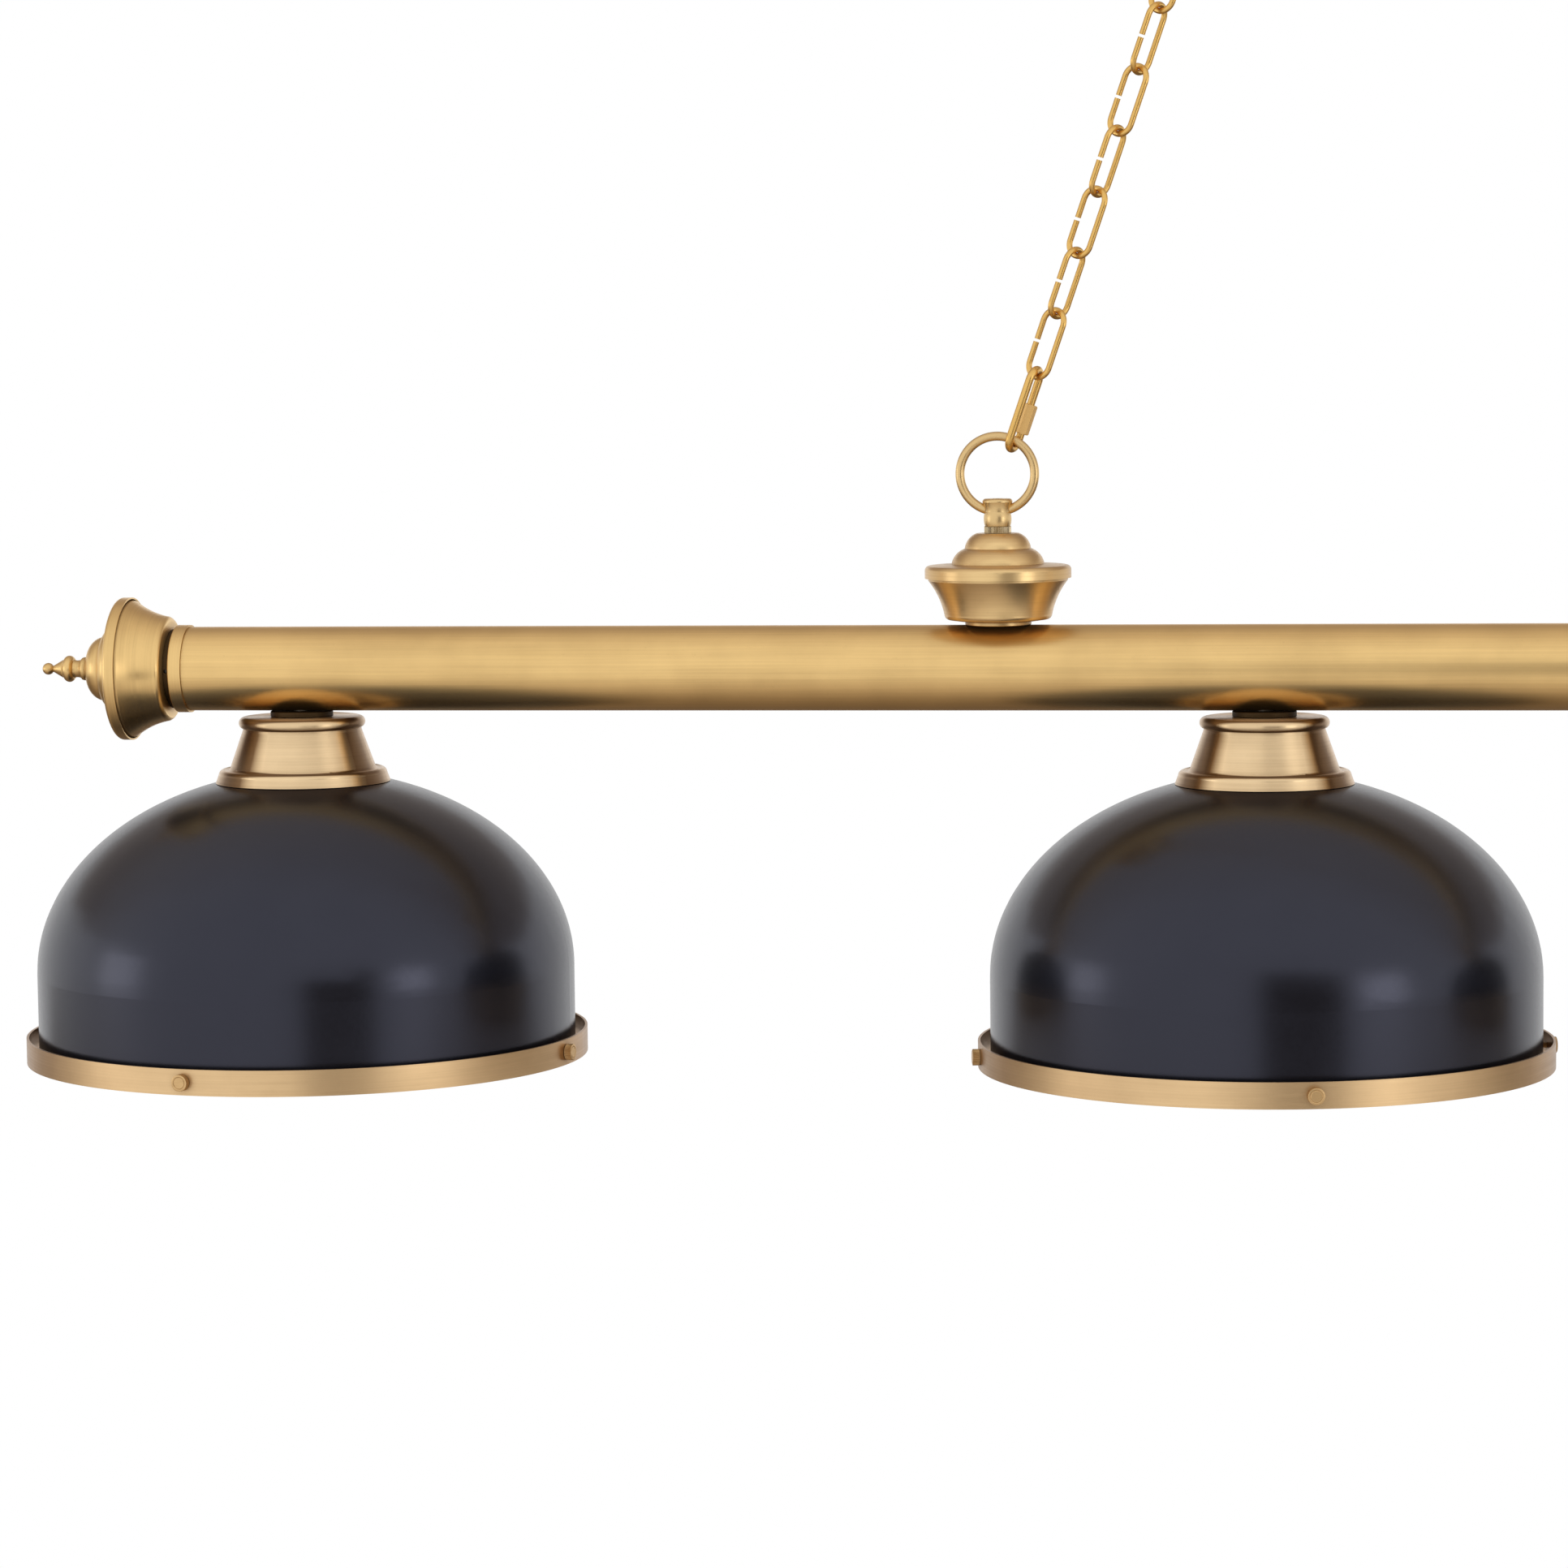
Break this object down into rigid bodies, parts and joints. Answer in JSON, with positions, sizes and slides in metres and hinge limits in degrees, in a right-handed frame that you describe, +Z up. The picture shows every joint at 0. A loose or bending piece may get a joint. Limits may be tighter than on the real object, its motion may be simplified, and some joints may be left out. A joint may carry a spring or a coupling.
{
  "type": "pool table lamp",
  "caption": "Long round bar with finial ends carrying a row of dome shades with trim rings, hung by leaning chains from a ceiling canopy.",
  "frame": {"origin": "middle of the ceiling plate's screw pattern, on the ceiling", "axes": "+Z up, X along the bar, the front of the lamp faces -Y"},
  "size_m": [2.1827, 0.3594, 1.7739],
  "materials": {
    "bar_brass": "brushed antique brass",
    "shade_brass": "brushed antique brass",
    "chain_brass": "satin lacquered brass",
    "dome_black": "satin black outside, white inside",
    "plated_steel": "zinc plated",
    "socket_black": "moulded phenolic",
    "bulb_opal": "opal",
    "lead_black": "matt sheath"
  },
  "bodies": {
    "ceiling": {"ceiling_strap": "plated_steel", "strap_nut": "plated_steel", "canopy": "bar_brass", "canopy_nipple": "plated_steel", "canopy_check_ring": "bar_brass", "canopy_loop": "bar_brass"},
    "upper_links": {"upper_quick_link_left": "chain_brass", "upper_quick_link_right": "chain_brass"},
    "chains": {"chain_left": "chain_brass", "chain_right": "chain_brass", "lower_quick_link_left": "chain_brass", "lower_quick_link_right": "chain_brass"},
    "upper_sleeve_left": {"upper_sleeve_left": "chain_brass"},
    "upper_sleeve_right": {"upper_sleeve_right": "chain_brass"},
    "lower_sleeve_left": {"lower_sleeve_left": "chain_brass"},
    "lower_sleeve_right": {"lower_sleeve_right": "chain_brass"},
    "bulb_1": {"bulb_1": "bulb_opal"},
    "bulb_2": {"bulb_2": "bulb_opal"},
    "bulb_3": {"bulb_3": "bulb_opal"},
    "bulb_4": {"bulb_4": "bulb_opal"},
    "lamp": {"end_cap_left": "bar_brass", "end_cap_right": "bar_brass", "end_collars": "bar_brass", "end_cup_left": "bar_brass", "end_cup_right": "bar_brass", "end_plugs": "plated_steel", "end_rods": "plated_steel", "end_set_screws": "plated_steel", "finial_left": "bar_brass", "finial_right": "bar_brass", "fitter_1": "shade_brass", "fitter_2": "shade_brass", "fitter_3": "shade_brass", "fitter_4": "shade_brass", "hang_loop_left": "bar_brass", "hang_loop_right": "bar_brass", "hanger_cap_left": "bar_brass", "hanger_cap_right": "bar_brass", "hanger_check_rings": "bar_brass", "hanger_cup_left": "bar_brass", "hanger_cup_right": "bar_brass", "hanger_nipples": "plated_steel", "hanger_nuts": "plated_steel", "hanger_washers": "bar_brass", "lamp_sockets": "socket_black", "main_tube": "bar_brass", "shade_dome_1": "dome_black", "shade_dome_2": "dome_black", "shade_dome_3": "dome_black", "shade_dome_4": "dome_black", "shade_nipples": "plated_steel", "shade_nuts": "plated_steel", "shade_rings": "socket_black", "shade_washers": "shade_brass", "thumb_screws": "bar_brass", "trim_ring_1": "shade_brass", "trim_ring_2": "shade_brass", "trim_ring_3": "shade_brass", "trim_ring_4": "shade_brass", "wiring": "lead_black"}
  },
  "joints": [
    {"name": "lamp_sway", "type": "hinge", "parent": "ceiling", "child": "upper_links", "pos_m": [0, 0, -0.0666], "axis": [0, 1, 0], "range_deg": [-8, 8]},
    {"name": "chain_swing", "type": "hinge", "parent": "upper_links", "child": "chains", "pos_m": [0, 0, -0.12726], "axis": [1, 0, 0], "range_deg": [-20, 20]},
    {"name": "bar_tilt", "type": "hinge", "parent": "chains", "child": "lamp", "pos_m": [0, 0, -1.38777], "axis": [1, 0, 0], "range_deg": [-20, 20]},
    {"name": "upper_sleeve_left_slide", "type": "slide", "parent": "upper_links", "child": "upper_sleeve_left", "axis": [0.3273, 0, 0.9449], "range_m": [0, 0.011]},
    {"name": "upper_sleeve_right_slide", "type": "slide", "parent": "upper_links", "child": "upper_sleeve_right", "axis": [-0.3273, 0, 0.9449], "range_m": [0, 0.011]},
    {"name": "lower_sleeve_left_slide", "type": "slide", "parent": "chains", "child": "lower_sleeve_left", "axis": [0.3273, 0, 0.9449], "range_m": [0, 0.011]},
    {"name": "lower_sleeve_right_slide", "type": "slide", "parent": "chains", "child": "lower_sleeve_right", "axis": [-0.3273, 0, 0.9449], "range_m": [0, 0.011]},
    {"name": "bulb_1_out", "type": "slide", "parent": "lamp", "child": "bulb_1", "axis": [0, 0, -1], "range_m": [0, 0.03]},
    {"name": "bulb_2_out", "type": "slide", "parent": "lamp", "child": "bulb_2", "axis": [0, 0, -1], "range_m": [0, 0.03]},
    {"name": "bulb_3_out", "type": "slide", "parent": "lamp", "child": "bulb_3", "axis": [0, 0, -1], "range_m": [0, 0.03]},
    {"name": "bulb_4_out", "type": "slide", "parent": "lamp", "child": "bulb_4", "axis": [0, 0, -1], "range_m": [0, 0.03]}
  ]
}
